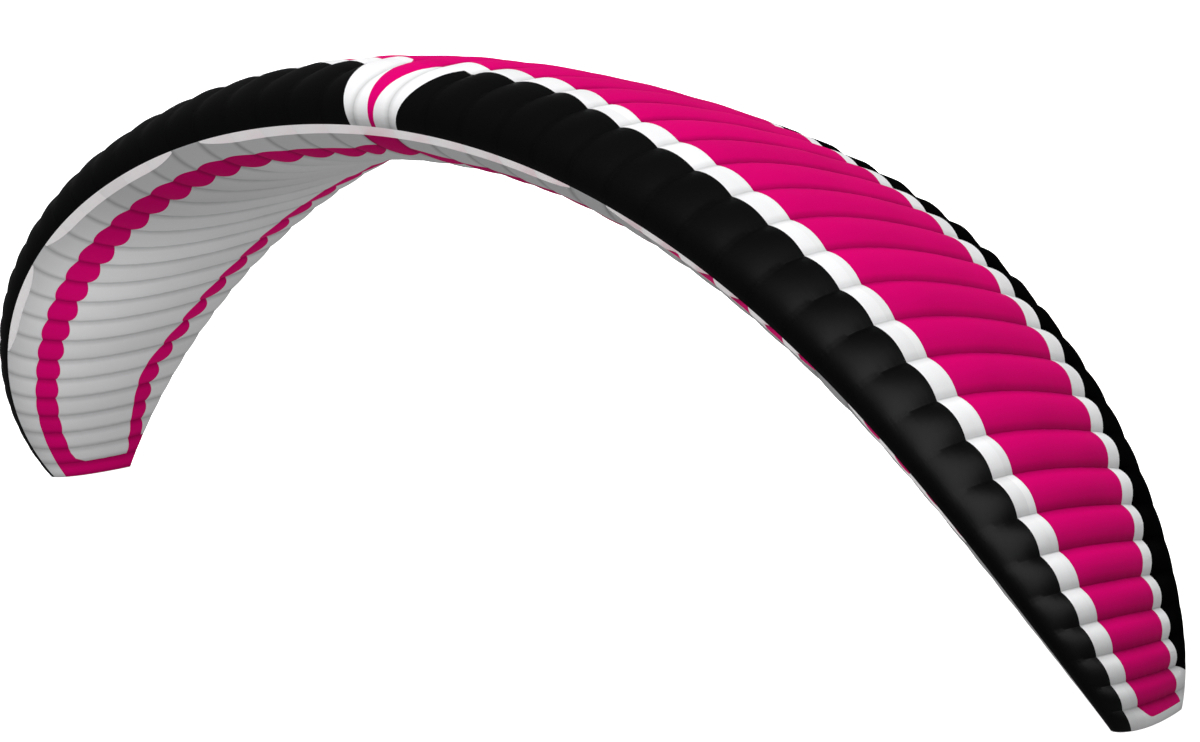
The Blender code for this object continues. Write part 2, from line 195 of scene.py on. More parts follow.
# Threads, seams and stitches
RIPSTOP = 0.005             # spacing of the strong threads
THREAD_HALF = 0.06          # half a thread's width over their spacing
ALLOWANCE = 0.006           # width of a seam allowance on each side of the seam
SEAM_STITCH = 0.004         # how far the stitches are from the seam
HEM_STITCH = 0.007          # and from the rims
STITCH_HALF = 0.0005        # half their width
STITCH_PITCH = 0.002        # half their spacing
STITCH_LENGTH = 0.0014      # half their length
NO_SEAM = 0.1               # distance to the seam on pieces that have none
TINT_HASH = (12.9898, 78.233, 43758.5453)   # steady pseudo-random numbers, for the panels' tints
TINT_OFFSET = 30            # added to the cell's number, which is below 0 on the left

# Colours
BLACK = (0.002, 0.002, 0.0022)
WHITE = (0.85, 0.85, 0.86)
UNDER_WHITE = (0.79, 0.79, 0.80)
MAGENTA = (0.65, 0.0, 0.146)
UNDER_MAGENTA = (0.74, 0.0, 0.168)
RIB_WHITE = (0.80, 0.80, 0.80)
BLACK_THREAD = (0.006, 0.006, 0.007)
GREY_THREAD = (0.55, 0.55, 0.56)
MAGENTA_THREAD = (0.45, 0.0, 0.10)
FLOOR_GREY = (0.8, 0.8, 0.8)
PURE_WHITE = (1.0, 1.0, 1.0)
THREAD_SHADE = -0.08        # change of brightness on a strong thread
ALLOWANCE_SHADE = -0.5      # and on a seam allowance, as a share of the painted valley shade: partly the seam's double cloth, partly painted shade
PAINTED_SHADE_REACH = 0.05         # how far from a seam the painted valley shade reaches

MIX_SHARE, MIX_FIRST, MIX_SECOND, MIX_RESULT = 0, 6, 7, 2     # sockets of a mix of colours

# Relief
CREASE_SCALE = (7.0, 34.0, 1.0)     # for each metre along the span and round the section
CREASE_DETAIL = 3.0
CREASE_REACH = 0.02         # the creases' height is this over
CREASE_START = 0.03         # the distance to the seam plus this
STITCH_RISE = 2.0           # height of a stitch over that of a thread
FINE_RELIEF = (0.5, 0.0001)     # strength and depth
CREASE_RELIEF = (0.6, 0.006)

# Floor
FLOOR_HALF = 400.0
FLOOR_DROP = 0.001
FLOOR_ROUGHNESS = 0.9
FLOOR_GLOW = 1.0

# Where the camera stands and looks, before the canopy's shift
CAMERA_PLACE = (16.813, -13.833, 2.019)
CAMERA_AIM = (-0.72173, 0.67332, -0.16049)
CAMERA_LENS = 110.6
CAMERA_SENSOR = 36.0
CAMERA_CLIP = (0.5, 1000.0)

# Soft light of the surroundings, a broad sun without shine, a second sun that gives nothing but
# satin shine, and a panel that lights the hollow of the arch
LIGHT_ABOVE = 0.27
LIGHT_BELOW = 0.36
LIGHT_LEFT = 0.62           # multiplies the two above on the left,
LIGHT_RIGHT = 1.25          # and this does on the right
LIGHT_TURN = 0.3            # the changes between them reach this far on each side
KEY_LIGHT = 3.1
KEY_WIDTH = 30              # degrees
KEY_FROM = (0.07, -0.44, 0.89)
SATIN_LIGHT = 12.0
SATIN_WIDTH = 75            # degrees
SATIN_FROM = (0.76, -0.52, 0.39)
PANEL_LIGHT = 13            # watts
PANEL_SIDE = 1.2
PANEL_PLACE = (-2.7, -1.2, 0.3)
PANEL_AIM = (-4.8, -0.1, 0.3)


# The canopy's surface

def place_along_span(k):
    """Signed distance from the middle along the flat cloth.

    Half the span times s, times 1 plus the narrowing times 1 minus s squared, where s is
    the rib number as a share of half the cells.
    """
    share = k / HALF_CELLS
    return HALF_SPAN * share * (1 + CELL_NARROWING * (1 - share**2))


def arch_slope(share):
    """Downward slope of the arch: a sum of the 1st, 3rd and 5th powers of the share of the
    half span, and a 24th power that brings it to a right angle at the tip."""
    end_turn = math.pi / 2 - ARCH_1 - ARCH_3 - ARCH_5
    slope = ARCH_1 * share + ARCH_3 * share**3 + ARCH_5 * share**5
    return slope + end_turn * share**ARCH_END_POWER


def arch_table():
    """X and Z along half the arch: running sums of the slope's cosine and minus its sine."""
    share = np.linspace(0, 1, ARCH_STEPS + 1)
    middle = (share[1:] + share[:-1]) / 2
    step = HALF_SPAN / ARCH_STEPS
    x = np.concatenate([[0], np.cumsum(np.cos(arch_slope(middle)) * step)])
    z = np.concatenate([[0], np.cumsum(-np.sin(arch_slope(middle)) * step)])
    return share, x, z


ARCH_SHARE, ARCH_X, ARCH_Z = arch_table()


def section(u):
    """Half thickness over chord, a polynomial in the girth number, and the outward normal."""
    size = np.abs(u)
    powers = np.array(SECTION_POWERS)
    factors = SECTION_SCALE * THICKNESS * np.array(SECTION_FACTORS)
    depth = np.sign(u) * np.sum(factors * size[..., None] ** powers, axis=-1)
    rise = np.sum(factors * powers * size[..., None] ** (powers - 1), axis=-1)
    run = 2 * u
    length = np.hypot(run, rise)
    return depth, -rise / length, run / length


def girth_table():
    """Length round the section from the leading edge over the chord: the running sum of the
    straight steps between points at even girth numbers."""
    u = np.linspace(0, 1, GIRTH_STEPS + 1)
    depth = section(u)[0]
    return u, np.concatenate([[0], np.cumsum(np.hypot(np.diff(u**2), np.diff(depth)))])


GIRTH_U, GIRTH_RUN = girth_table()


def chord_at(share):
    """Root chord less its losses with the 2nd, 4th and 16th power of the share of the half
    span."""
    loss = CHORD_LOSS_2 * share**2 + CHORD_LOSS_4 * share**4 + CHORD_LOSS_16 * share**16
    return ROOT_CHORD * (1 - loss)


def cell_width(k):
    """Width of a cell: the derivative of the place along the span by the rib number."""
    return HALF_SPAN / HALF_CELLS * (1 + CELL_NARROWING * (1 - 3 * (k / HALF_CELLS) ** 2))


def cell_parabola(k):
    """A parabola over each cell: 0 at its ribs and 1 in its middle."""
    from_rib = np.mod(np.abs(k) + 0.5, 1.0)
    return 4 * from_rib * (1 - from_rib)


def flat_ramp(u):
    """0 round the air slots and 1 away from them. The rise is straight underneath and a
    square over the nose."""
    away = np.abs(u - FLAT_GIRTH) - FLAT_HALF
    under = np.clip(away / FLAT_RAMP[0], 0, 1)
    over = np.clip(away / FLAT_RAMP[1], 0, 1)**2
    return np.where(u > FLAT_GIRTH, over, under)


def rear_fade(k, u):
    """1 over most of the chord and a straight fall to 0 at the trailing edge, shorter on top
    in the middle of the span."""
    top = np.interp(np.abs(k), FADE_RIBS, BILLOW_FADE[::-1])
    return np.clip((1 - u**2) * np.where(u > 0, top, BILLOW_FADE[0]), 0, 1)


def billow(k, u):
    """How far the cloth stands out between two ribs: a parabola over the cell, as high as a
    share of its width, flat round the air slots and fading out before the trailing edge."""
    top = np.interp(np.abs(k), BILLOW_RIBS, BILLOW_TOP)
    under = np.interp(np.abs(k), BILLOW_RIBS, BILLOW_UNDER)
    ratio = under + (top - under) * np.clip((u / NOSE_BLEND + 1) / 2, 0, 1)
    return ratio * cell_width(k) * flat_ramp(u) * rear_fade(k, u) * cell_parabola(k)


def girth_run(k, u):
    """Metres round the section from the leading edge, minus underneath."""
    share = np.abs(place_along_span(k)) / HALF_SPAN
    return np.sign(u) * np.interp(np.abs(u), GIRTH_U, GIRTH_RUN) * chord_at(share)


def from_seam(k):
    """Gap to the nearest rib in cells: 0 at the ribs and a half in mid cell."""
    return np.abs(np.mod(np.abs(k), 1.0) - 0.5)


def seam_distance(k):
    """Metres along the span to the nearest rib: the gap times the cell's width."""
    return from_seam(k) * cell_width(k)


def sum_of_sines(sines, run, number, side):
    """Sines of the metres round the section, each with its height and its phase: a factor
    times a power of the panel's number, and a share of the side's own phase."""
    total = 0.0
    for length, height, factor, power, share in sines:
        phase = factor * number**power + share * side
        total = total + height * np.sin(2 * np.pi * run / length + phase)
    return total


def wrinkle(k, u):
    """Puckers plus waves. The puckers have a phase for each rib and die away from the seam:
    an exponential of the metres to it, times the square of one less twice the gap. The
    waves have a phase for each cell, and are times a parabola that is 0 at the ribs."""
    run = girth_run(k, u)
    rib = np.floor(np.abs(k)) + 0.5
    cell = np.round(np.abs(k))
    side = np.where(k < 0, LEFT_PHASE, 0.0)
    near = np.exp(-seam_distance(k) / PUCKER_REACH) * (2 * from_seam(k) - 1) ** 2
    puckers = PUCKER * near * sum_of_sines(PUCKER_SINES, run, rib, side)
    waves = WAVE * cell_parabola(k) * sum_of_sines(WAVE_SINES, run, cell, side)
    return rear_fade(k, u) * flat_ramp(u) * (puckers + waves)


def rear_scallop(k, u):
    """How far the seams draw the cloth in from the rear edge: a share of the cell's width
    times one less a parabola over the cell, and times the 24th power of the girth number.
    It fades straight to nothing at the tips."""
    ends = np.clip((HALF_CELLS - np.abs(k)) / SCALLOP_FADE, 0, 1)
    return REAR_SCALLOP * cell_width(k) * ends * u**SCALLOP_POWER * (1 - cell_parabola(k))


def canopy(k, u, stand_out=0.0):
    """Points of the canopy: the section at girth number u, pitched, swept and standing
    square to the arch at rib number k, with the billow and stand_out along its normal and
    the rear edge drawn in at the seams."""
    k, u = np.broadcast_arrays(np.asarray(k, float), np.asarray(u, float))
    along = place_along_span(k)
    share = np.abs(along) / HALF_SPAN
    slope = np.sign(along) * arch_slope(share)
    x = np.sign(along) * np.interp(share, ARCH_SHARE, ARCH_X)
    z = np.interp(share, ARCH_SHARE, ARCH_Z)
    chord = chord_at(share)
    sweep = SWEEP_2 * share**2 + SWEEP_4 * share**4 + SWEEP_8 * share**8
    front = ROOT_CHORD * (sweep + SWEEP_16 * share**16)
    pitch = PITCH_ROOT + PITCH_GAIN * share**2
    depth, normal_back, normal_up = section(u)
    out = billow(k, u) + stand_out
    back = (u**2 - PIVOT) * chord + out * normal_back - rear_scallop(k, u)
    up = depth * chord + out * normal_up
    y = front + PIVOT * chord + back * np.cos(pitch) + up * np.sin(pitch)
    rise = up * np.cos(pitch) - back * np.sin(pitch)
    return np.stack([x + np.sin(slope) * rise, y, z + np.cos(slope) * rise], axis=-1)


def canopy_shift():
    """Moves the canopy over the origin: middle of its box, tip panels on the ground."""
    k = np.linspace(-HALF_CELLS, HALF_CELLS, CELLS * BOX_STEPS + 1)[:, None]
    u = np.linspace(-1, 1, BOX_LINES + 1)[None, :]
    points = canopy(k, u, SKIN_GAP + CAD_CLOTH).reshape(-1, 3)
    middle_y = (points[:, 1].min() + points[:, 1].max()) / 2
    ground = canopy(HALF_CELLS, 0.0)[2] - TIP_GAP - CAD_CLOTH
    return np.array([0.0, -middle_y, -ground])


SHIFT = canopy_shift()


def cloth_surface(k, u):
    """The canopy with its wrinkles, in place."""
    return canopy(k, u, wrinkle(k, u)) + SHIFT


def cloth_normal(k, u):
    """Unit normal: the cross product of small central differences by k and by u."""
    u = np.clip(u, -1 + NORMAL_STEP, 1 - NORMAL_STEP)
    across = cloth_surface(k + NORMAL_STEP, u) - cloth_surface(k - NORMAL_STEP, u)
    around = cloth_surface(k, u + NORMAL_STEP) - cloth_surface(k, u - NORMAL_STEP)
    normal = np.cross(across, around)
    return normal / np.linalg.norm(normal, axis=-1, keepdims=True)


# Grids of lines

def slot_rear(k):
    """Chord share of the slots' rear edge: SLOT, drawn in towards the lip by the square of
    how near a shut cell is."""
    out = np.abs(k)
    shut = np.array(SHUT_CELLS, float)
    gap = np.min(np.maximum(np.abs(out[..., None] - shut) - 0.5, 0), axis=-1)
    closing = SLOT_NARROWING * np.clip(1 - gap / SLOT_NARROWS_OVER, 0, 1) ** 2
    return SLOT + (LIP - SLOT) * closing


def girth(edge, k, side):
    """Girth number of an edge at rib numbers k: the root of its chord share, plus on top and
    minus underneath. The share of a table is read between its ribs, and some edges bulge by
    a parabola over each cell, less so in the narrow tip cells."""
    if edge == SLOT:
        return side * np.sqrt(slot_rear(k))
    if np.ndim(edge) == 0:
        return side * np.sqrt(np.full(np.shape(k), edge))
    bulge = EDGE_BULGE.get(edge, 0.0) * (2 * cell_parabola(k) - 1)
    bulge = bulge * np.clip((BLACK_EDGE_END - np.abs(k)) / BULGE_FADE, 0, 1)
    return side * np.sqrt(np.interp(np.abs(k), BAND_RIBS, edge) + bulge)


# Edges round the section with their sides, the steps from each to the next, and the numbers
# of the rows of panels between them. The rows on top that have no name are white border.
TOP_EDGES = (
    (LIP, -1), (NOSE_END, 1), (WEDGE_CROSS, 1), (BAND_START, 1), (BAND_END, 1),
    (EDGE_START, 1), (TRAILING_EDGE, 1),
)
TOP_STEPS = (26, 3, 3, 60, 5, 10)
NOSE_ROW, WEDGE_ROW, MAGENTA_ROW, REAR_EDGE_ROW = 0, 2, 3, 5
UNDER_EDGES = (
    (UNDER_HEM, -1), (STRIPE_2_END, -1), (STRIPE_2_START, -1), (STRIPE_1_END, -1),
    (STRIPE_1_START, -1), (SLOT, -1), (LIP, -1),
)
UNDER_STEPS = (6, 6, 60, 7, 7, 3)
HEM_ROW, STRIPE_2_ROW, MIDDLE_ROW, STRIPE_1_ROW, FRONT_ROW, SLOT_ROW = range(6)


def between(edges, steps):
    """Lines from each edge to the next, spaced evenly: a list of rows, one for each line."""
    lines = []
    for low, high, count in zip(edges[:-1], edges[1:], steps):
        lines += [low + (high - low) * step / count for step in range(count)]
    lines.append(edges[-1])
    return lines


def lines_round(edges, steps, k):
    """Girth numbers of the lines round the section at rib numbers k, evenly spaced between
    the edges."""
    return np.stack(between([girth(edge, k, side) for edge, side in edges], steps), axis=1)


def row_numbers(steps):
    """The row that each strip of quads round the section belongs to."""
    return np.repeat(np.arange(len(steps)), steps)


def part_way(value, low, high):
    """How far the value is from low to high, between 0 and 1."""
    return np.clip((value - low) / (high - low), 0, 1)


def wedge_edge(u):
    """Half width of the centre wedge in cells: a slow and a quick power of the way between
    two girth numbers, added up."""
    low, high, gain, power = WEDGE_SLOW
    slow = gain * part_way(u, low, high) ** power
    low, high, gain, power = WEDGE_QUICK
    return WEDGE_AT_LIP + slow + gain * part_way(u, low, high) ** power


def nose_inner(u):
    """Inner end of a black nose band in cells: a power of the way up the nose."""
    part = part_way(u, girth(LIP, 0.0, -1), girth(NOSE_END, 0.0, 1))
    return NOSE_INNER_AT_LIP + (NOSE_INNER_AT_END - NOSE_INNER_AT_LIP) * part**INNER_CURVE


def tip_magenta_end(u):
    """Rib number where the upper magenta ends in the tip cell: a parabola that rises over
    the front quarter of the band, less a straight fall to its rear edge."""
    part = part_way(u, girth(BAND_START, HALF_CELLS, 1), girth(BAND_END, HALF_CELLS, 1))
    rise = 1 - (1 - np.clip(part / TIP_RISE_PART, 0, 1)) ** 2
    return TIP_MAGENTA_FRONT + TIP_MAGENTA_RISE * rise - TIP_MAGENTA_FALL * part


def top_grid():
    """k and u of the upper skins' lines. The lines of the middle follow the wedge, the first
    rib and the nose bands' inner ends, and the others are even steps over each cell."""
    ribs_out = np.arange(2, CELLS // 2 + 1) - 0.5
    plain = (ribs_out[:, None] + np.arange(CELL_STEPS) / CELL_STEPS).ravel()
    plain = np.append(plain, SKIN_END)
    count = sum(MIDDLE_STEPS)
    u_half = lines_round(TOP_EDGES, TOP_STEPS, np.concatenate([np.zeros(count), plain]))
    u = u_half[0]
    wedge = wedge_edge(u)
    first_rib = np.full_like(u, 0.5)
    edges = [np.zeros_like(u), np.minimum(wedge, first_rib), np.maximum(wedge, first_rib),
             nose_inner(u), np.full_like(u, 1.5)]
    k_half = np.repeat(np.append(np.zeros(count), plain)[:, None], len(u), axis=1)
    k_half[:count] = between(edges, MIDDLE_STEPS)[:-1]
    tip_rib = np.full_like(u, HALF_CELLS - 1)
    edges = [tip_rib, tip_magenta_end(u_half[-1]), np.full_like(u, SKIN_END)]
    k_half[-CELL_STEPS - 1:] = between(edges, (CELL_STEPS // 2, CELL_STEPS // 2))
    return np.concatenate([-k_half[:0:-1], k_half]), np.concatenate([u_half[:0:-1], u_half])


def under_grid():
    """k and u of the lower skins' lines: even steps over each cell, cut off near the tips."""
    k = np.linspace(-HALF_CELLS, HALF_CELLS, CELLS * CELL_STEPS + 1).clip(-SKIN_END, SKIN_END)
    u_lines = lines_round(UNDER_EDGES, UNDER_STEPS, k)
    return np.repeat(k[:, None], u_lines.shape[1], axis=1), u_lines


# Meshes

def new_piece(name, points, faces, materials):
    """A mesh object of these points and faces, at the origin."""
    mesh = bpy.data.meshes.new(name)
    mesh.from_pydata(points.tolist(), [], faces.tolist())
    for material in materials:
        mesh.materials.append(material)
    piece = bpy.data.objects.new(name, mesh)
    bpy.context.scene.collection.objects.link(piece)
    return piece


def two_sided(keep):
    """Faces of a closed sheet over the quads that keep marks in a grid: the outer layer, the
    inner layer turned round, and a strip of quads along each rim. Returns which grid points
    are used, the faces with the outer points counted after the inner ones, and how many
    faces of each layer there are."""
    kept = np.pad(keep.astype(int), 1)
    used = (kept[:-1, :-1] + kept[:-1, 1:] + kept[1:, :-1] + kept[1:, 1:]) > 0
    number = np.full(used.shape, -1)
    number[used] = np.arange(used.sum())
    count = int(used.sum())
    i, j = np.nonzero(keep)
    corners = [number[i, j], number[i + 1, j], number[i + 1, j + 1], number[i, j + 1]]
    corners = np.stack(corners, axis=1)
    layers = [corners + count, corners[:, ::-1]]
    beside = ((0, -1), (1, 0), (0, 1), (-1, 0))
    for side, (row, column) in enumerate(beside):
        open_side = kept[i + row + 1, j + column + 1] == 0
        start = corners[open_side, side]
        end = corners[open_side, (side + 1) % 4]
        layers.append(np.stack([start, end, end + count, start + count], axis=1))
    return used, np.concatenate(layers), len(corners)


def set_cloth_maps(mesh, k, u, offsets):
    """UV map in metres along the span and round the section, and the metres to the nearest
    seam and to the nearest rim."""
    along = np.tile(place_along_span(k), 2)
    run = np.tile(girth_run(k, u), 2)
    corner = np.empty(len(mesh.loops), int)
    mesh.loops.foreach_get("vertex_index", corner)
    uv = mesh.uv_layers.new(name="cloth")
    uv.data.foreach_set("uv", np.stack([along[corner], run[corner]], axis=1).ravel())
    seam = mesh.attributes.new("seam", "FLOAT", "POINT")
    seam.data.foreach_set("value", np.tile(seam_distance(k), 2))
    rim = mesh.attributes.new("rim", "FLOAT", "POINT")
    rim.data.foreach_set("value", np.tile(offsets, 2))


def panel_numbers(mesh, k_middle, row):
    """A steady pseudo-random number between -1 and 1 for each panel: the fraction of a large
    multiple of the sine of its cell and row."""
    cell_factor, row_factor, height = TINT_HASH
    wave = np.sin(cell_factor * (k_middle + TINT_OFFSET) + row_factor * row) * height
    panel = mesh.attributes.new("panel", "FLOAT", "FACE")
    panel.data.foreach_set("value", 2 * (wave - np.floor(wave)) - 1)


def rim_distance(keep, k, u):
    """Metres round the section from each used point to the nearest rim of its own column."""
    run = girth_run(k, u)
    kept = np.pad(keep.astype(int), 1)
    low_rim = (kept[:-1, :-1] + kept[1:, :-1] == 0) & (kept[:-1, 1:] + kept[1:, 1:] > 0)
    high_rim = (kept[:-1, 1:] + kept[1:, 1:] == 0) & (kept[:-1, :-1] + kept[1:, :-1] > 0)
    last = np.maximum.accumulate(np.where(low_rim, run, -np.inf), axis=1)
    coming = np.minimum.accumulate(np.where(high_rim, run, np.inf)[:, ::-1], axis=1)[:, ::-1]
    return np.clip(np.minimum(run - last, coming - run), 0, 1)


def cloth_sheet(name, grid, row, keep, outside, inside):
    """A closed thin sheet of cloth over part of a grid, outside and inside each in their own
    material, smooth but for the creases at the ribs and the rims."""
    k_lines, u_lines = grid
    used, faces, layer = two_sided(keep)
    k, u = k_lines[used], u_lines[used]
    surface = cloth_surface(k, u)
    normal = cloth_normal(k, u)
    inner = surface + SKIN_GAP * normal
    outer = surface + (SKIN_GAP + SKIN_THICK) * normal
    piece = new_piece(name, np.concatenate([inner, outer]), faces, (outside, inside))
    mesh = piece.data
    set_cloth_maps(mesh, k, u, rim_distance(keep, k_lines, u_lines)[used])
    i, j = np.nonzero(keep)
    middle = np.round((k_lines[i, j] + k_lines[i + 1, j]) / 2)
    numbers = np.zeros(len(faces))
    numbers[:layer] = numbers[layer:2 * layer] = middle
    rows = np.zeros(len(faces))
    rows[:layer] = rows[layer:2 * layer] = row[j]
    panel_numbers(mesh, numbers, rows)
    side = np.zeros(len(faces), int)
    side[layer:2 * layer] = 1
    mesh.polygons.foreach_set("material_index", side)
    join_doubles(mesh)
    mesh.shade_smooth()
    mesh.set_sharp_from_angle(angle=SHARP)
    return piece


def join_doubles(mesh):
    """Merges the points that fall together, as where a column of quads narrows to nothing."""
    shape = bmesh.new()
    shape.from_mesh(mesh)
    bmesh.ops.remove_doubles(shape, verts=shape.verts, dist=DOUBLES)
    shape.to_mesh(mesh)
    shape.free()


# Materials

def node(tree, kind, place, **settings):
    """A shader node at a place in the editor, with these settings."""
    made = tree.nodes.new(kind)
    made.location = place
    for key, value in settings.items():
        setattr(made, key, value)
    return made


def math_node(tree, operation, place, *values):
    """Output of a math node. Each value is a socket or a number."""
    made = node(tree, "ShaderNodeMath", place, operation=operation)
    for number, value in enumerate(values):
        if hasattr(value, "is_output"):
            tree.links.new(value, made.inputs[number])
        else:
            made.inputs[number].default_value = value
    return made.outputs[0]


def read_attribute(tree, name, place):
    """A number that the mesh carries."""
    return node(tree, "ShaderNodeAttribute", place, attribute_name=name).outputs["Fac"]


def thread_lines(tree, coordinate, place):
    """1 on the strong threads and 0 between them: how near the coordinate over the spacing
    comes to a whole number."""
    x, y = place
    turns = math_node(tree, "MULTIPLY", (x, y), coordinate, 1 / RIPSTOP)
    swing = math_node(tree, "PINGPONG", (x + 160, y), turns, 0.5)
    return math_node(tree, "LESS_THAN", (x + 320, y), swing, THREAD_HALF)


def stitch_row(tree, distance, offset, coordinate, place):
    """1 on the dashes of a row of stitches: near enough to the offset in the distance, and in
    the first part of each pitch along the coordinate."""
    x, y = place
    gap = math_node(tree, "SUBTRACT", (x, y), distance, offset)
    gap = math_node(tree, "ABSOLUTE", (x + 160, y), gap)
    on_row = math_node(tree, "LESS_THAN", (x + 320, y), gap, STITCH_HALF)
    dash = math_node(tree, "PINGPONG", (x + 160, y - 140), coordinate, STITCH_PITCH)
    dash = math_node(tree, "LESS_THAN", (x + 320, y - 140), dash, STITCH_LENGTH)
    return math_node(tree, "MULTIPLY", (x + 500, y), on_row, dash)


def bump(tree, place, relief, height):
    """A bump node of this strength and depth over a height."""
    made = node(tree, "ShaderNodeBump", place)
    strength, depth = relief
    made.inputs["Strength"].default_value = strength
    made.inputs["Distance"].default_value = depth
    tree.links.new(height, made.inputs["Height"])
    return made


def cloth_material(name, colour, seam_colour, roughness, shine, painted_valley_shade, tint=0.05, painted_glow=0.0):
    """Coated ripstop: a grid of strong threads, panels that differ a little, painted shade in the
    valleys at the seams, allowances darker partly by painted shade, a row of stitches along each
    seam and rim, fine creases that run out from the seams, and painted light as a glow if given."""
    material = bpy.data.materials.new(name)
    material.use_nodes = True
    tree = material.node_tree
    shader = tree.nodes["Principled BSDF"]
    shader.location = (1500, 0)
    tree.nodes["Material Output"].location = (1800, 0)
    shader.inputs["Roughness"].default_value = roughness
    shader.inputs["Specular IOR Level"].default_value = shine
    # painted light: a glow in the cloth's own colour, standing in for light that comes through the
    # cloth
    shader.inputs["Emission Color"].default_value = (*colour, 1.0)
    shader.inputs["Emission Strength"].default_value = painted_glow

    uv = node(tree, "ShaderNodeUVMap", (-1100, 0), uv_map="cloth")
    parts = node(tree, "ShaderNodeSeparateXYZ", (-900, 0))
    tree.links.new(uv.outputs[0], parts.inputs[0])
    seam = read_attribute(tree, "seam", (-900, -300))
    rim = read_attribute(tree, "rim", (-900, -500))
    panel = read_attribute(tree, "panel", (-900, -700))

    along_threads = thread_lines(tree, parts.outputs[0], (-700, 200))
    round_threads = thread_lines(tree, parts.outputs[1], (-700, 0))
    threads = math_node(tree, "MAXIMUM", (-200, 100), along_threads, round_threads)

    allowance = math_node(tree, "LESS_THAN", (-700, -300), seam, ALLOWANCE)
    seam_stitch = stitch_row(tree, seam, SEAM_STITCH, parts.outputs[1], (-700, -420))
    hem_stitch = stitch_row(tree, rim, HEM_STITCH, parts.outputs[0], (-700, -700))
    stitches = math_node(tree, "MAXIMUM", (-20, -560), seam_stitch, hem_stitch)

    # colour: the panel's tint, then threads and allowances, then painted shade in the valley at
    # the seam
    tinted = math_node(tree, "MULTIPLY_ADD", (-20, 260), panel, tint, 1.0)
    on_threads = math_node(tree, "MULTIPLY_ADD", (-20, 120), threads, THREAD_SHADE, 1.0)
    # the seam allowance is darker: partly the seam's double cloth, partly painted shade of the
    # valley
    on_allowance = math_node(
        tree, "MULTIPLY_ADD", (150, 40), allowance, ALLOWANCE_SHADE * painted_valley_shade, 1.0)
    shade = math_node(tree, "MULTIPLY", (150, 200), tinted, on_threads)
    shade = math_node(tree, "MULTIPLY", (300, 200), shade, on_allowance)
    # painted shade: the colour darkens towards each seam, standing in for the shade in the valley
    # between two billows
    painted_shade_ramp = node(tree, "ShaderNodeMapRange", (150, -140), interpolation_type="SMOOTHSTEP")
    for socket, value in (("From Min", 0.0), ("From Max", PAINTED_SHADE_REACH), ("To Min", 1 - painted_valley_shade)):
        painted_shade_ramp.inputs[socket].default_value = value
    tree.links.new(seam, painted_shade_ramp.inputs["Value"])
    shade = math_node(tree, "MULTIPLY", (400, 60), shade, painted_shade_ramp.outputs[0])
    scaled = node(tree, "ShaderNodeVectorMath", (480, 200), operation="SCALE")
    scaled.inputs[0].default_value = colour
    tree.links.new(shade, scaled.inputs["Scale"])
    mixed = node(tree, "ShaderNodeMix", (700, 100), data_type="RGBA")
    mixed.clamp_factor = True
    tree.links.new(stitches, mixed.inputs[MIX_SHARE])
    tree.links.new(scaled.outputs[0], mixed.inputs[MIX_FIRST])
    mixed.inputs[MIX_SECOND].default_value = (*seam_colour, 1.0)
    tree.links.new(mixed.outputs[MIX_RESULT], shader.inputs["Base Color"])

    # relief: threads and stitches, and noise stretched out from the seams, where it is highest
    stretched = node(tree, "ShaderNodeMapping", (-700, -1000))
    stretched.inputs["Scale"].default_value = CREASE_SCALE
    tree.links.new(uv.outputs[0], stretched.inputs[0])
    creases = node(tree, "ShaderNodeTexNoise", (-500, -1000), noise_dimensions="2D")
    creases.inputs["Scale"].default_value = 1.0
    creases.inputs["Detail"].default_value = CREASE_DETAIL
    tree.links.new(stretched.outputs[0], creases.inputs["Vector"])
    away = math_node(tree, "ADD", (-460, -1160), seam, CREASE_START)
    near = math_node(tree, "DIVIDE", (-300, -1100), CREASE_REACH, away)
    crease_height = math_node(tree, "MULTIPLY", (-120, -1000), creases.outputs["Fac"], near)
    fine_height = math_node(tree, "MULTIPLY_ADD", (150, -400), stitches, STITCH_RISE, threads)
    fine = bump(tree, (700, -400), FINE_RELIEF, fine_height)
    creased = bump(tree, (950, -400), CREASE_RELIEF, crease_height)
    tree.links.new(fine.outputs[0], creased.inputs["Normal"])
    tree.links.new(creased.outputs[0], shader.inputs["Normal"])
    return material


black_cloth = cloth_material(
    "black_ripstop_cloth", BLACK, BLACK_THREAD, roughness=0.45, shine=0.04, painted_valley_shade=0.3, tint=0.15)
edge_cloth = cloth_material(
    "black_edge_cloth", BLACK, BLACK_THREAD, roughness=0.8, shine=0.0, painted_valley_shade=0.3, tint=0.15)
white_cloth = cloth_material(
    "white_ripstop_cloth", WHITE, GREY_THREAD, roughness=0.6, shine=0.1, painted_valley_shade=0.22)
under_cloth = cloth_material(
    "white_under_cloth", UNDER_WHITE, GREY_THREAD, roughness=0.6, shine=0.1, painted_valley_shade=0.28)
magenta_cloth = cloth_material(
    "magenta_ripstop_cloth", MAGENTA, MAGENTA_THREAD, roughness=0.6, shine=0.02, painted_valley_shade=0.34)
# painted light: the inside of the skins and the ribs glow, standing in for light that comes
# through the cloth
inner_cloth_painted_glow = cloth_material(
    "inner_white_cloth_painted_glow", RIB_WHITE, GREY_THREAD, roughness=0.7, shine=0.1, painted_valley_shade=0.2,
    tint=0.03, painted_glow=0.22)
stripe_cloth = cloth_material(
    "magenta_under_cloth", UNDER_MAGENTA, MAGENTA_THREAD, roughness=0.6, shine=0.02, painted_valley_shade=0.34)


# The skins

def finish_skin(piece, nodes):
    """Hides the nodes that the skin stands for, and gives it its body."""
    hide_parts(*nodes)
    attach(piece, "root")


def lengths(name, places):
    """The nodes of a skin that the solids have in several lengths."""
    return [f"{name}_{place}" for place in places]


BROAD = ("left_tip", "left_mid", "middle", "right_mid", "right_tip")


